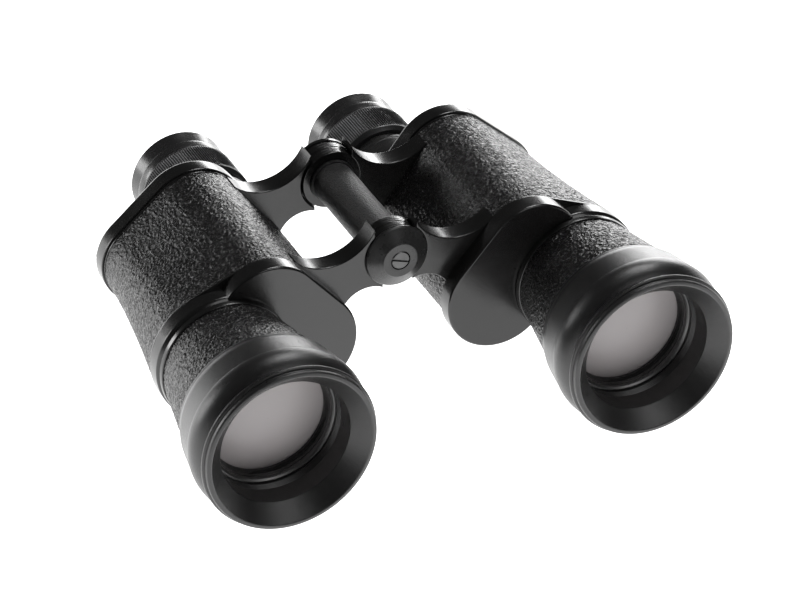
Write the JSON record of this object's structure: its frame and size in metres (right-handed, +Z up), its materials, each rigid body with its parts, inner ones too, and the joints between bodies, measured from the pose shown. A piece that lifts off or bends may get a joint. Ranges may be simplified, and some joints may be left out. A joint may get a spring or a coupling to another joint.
{
  "type": "porro-prism binoculars",
  "caption": "Black porro-prism binoculars with hinged barrels, grained covering, flared objective cells and individually focused eyepieces.",
  "frame": {"origin": "on the centre line under the hinge, at the lowest level of the objective cells, halfway along the binoculars", "axes": "+Z up from the table to the hinge, -Y the way the objectives face, +X towards the half before the user's left eye"},
  "size_m": [0.1874, 0.1736, 0.0615],
  "materials": {
    "casting": "satin black paint on a cast body",
    "leatherette": "black pebble-grained covering",
    "shield": "smooth semi-gloss black paint",
    "plate": "smooth semi-gloss black paint",
    "cell": "semi-gloss black paint with a fine cast texture",
    "tube_metal": "blackened",
    "screw_steel": "blued",
    "inner_black": "gloss black",
    "coated_glass": "polished, with a faint coating",
    "prism_glass": "polished",
    "shelf_metal": "bare cast",
    "spring_brass": "satin",
    "eyepiece_metal": "satin black",
    "knurled_metal": "black anodised with straight knurling",
    "eyecup_plastic": "hard gloss black",
    "steel": "turned",
    "crackle_paint": "black crackle paint",
    "turned_metal": "turned and darkened"
  },
  "bodies": {
    "right_barrel": {"right_body": "casting", "right_body_covering": "leatherette", "right_front_plate": "shield", "right_rear_plate": "plate", "right_rear_plate_screws": "screw_steel", "right_objective_tube": "tube_metal", "right_tube_covering": "leatherette", "right_objective_cell": "cell", "right_lens_retainer": "inner_black", "right_objective_crown_lens": "coated_glass", "right_objective_flint_lens": "coated_glass", "right_prism_shelf": "shelf_metal", "right_front_prism": "prism_glass", "right_rear_prism": "prism_glass", "right_prism_clips": "spring_brass", "right_eyepiece_mount": "eyepiece_metal", "hinge_axle": "steel", "hinge_tube": "crackle_paint", "hinge_washers": "spring_brass", "hinge_front_cap": "turned_metal", "hinge_cap_screw": "steel", "hinge_scale_disc": "inner_black", "hinge_rear_nut": "turned_metal"},
    "left_barrel": {"left_body": "casting", "left_body_covering": "leatherette", "left_front_plate": "shield", "left_rear_plate": "plate", "left_rear_plate_screws": "screw_steel", "left_objective_tube": "tube_metal", "left_tube_covering": "leatherette", "left_objective_cell": "cell", "left_lens_retainer": "inner_black", "left_objective_crown_lens": "coated_glass", "left_objective_flint_lens": "coated_glass", "left_prism_shelf": "shelf_metal", "left_front_prism": "prism_glass", "left_rear_prism": "prism_glass", "left_prism_clips": "spring_brass", "left_eyepiece_mount": "eyepiece_metal"},
    "left_eyepiece_slide": {"left_eyepiece_tube": "inner_black", "left_field_lens": "coated_glass", "left_field_stop": "inner_black", "left_eye_lens": "coated_glass"},
    "left_focus_grip": {"left_focus_ring": "knurled_metal", "left_eyecup": "eyecup_plastic"},
    "right_eyepiece_slide": {"right_eyepiece_tube": "inner_black", "right_field_lens": "coated_glass", "right_field_stop": "inner_black", "right_eye_lens": "coated_glass"},
    "right_focus_grip": {"right_focus_ring": "knurled_metal", "right_eyecup": "eyecup_plastic"}
  },
  "joints": [
    {"name": "eye_distance_hinge", "type": "hinge", "parent": "right_barrel", "child": "left_barrel", "pos_m": [0, 0, 0.0503], "axis": [0, 1, 0], "range_deg": [-22, 24]},
    {"name": "left_focus_travel", "type": "slide", "parent": "left_barrel", "child": "left_eyepiece_slide", "axis": [0, 1, 0], "range_m": [-0.0034, 0.0034]},
    {"name": "left_focus_turn", "type": "hinge", "parent": "left_eyepiece_slide", "child": "left_focus_grip", "pos_m": [0.0334, 0, 0.0284], "axis": [0, 1, 0], "range_deg": [-100, 100]},
    {"name": "right_focus_travel", "type": "slide", "parent": "right_barrel", "child": "right_eyepiece_slide", "axis": [0, 1, 0], "range_m": [-0.0034, 0.0034]},
    {"name": "right_focus_turn", "type": "hinge", "parent": "right_eyepiece_slide", "child": "right_focus_grip", "pos_m": [-0.0334, 0, 0.0284], "axis": [0, 1, 0], "range_deg": [-100, 100]}
  ],
  "couplings": [
    {"joint": "left_focus_travel", "follows": "left_focus_turn", "m_per_rad": 0.0019099},
    {"joint": "right_focus_travel", "follows": "right_focus_turn", "m_per_rad": 0.0019099}
  ]
}
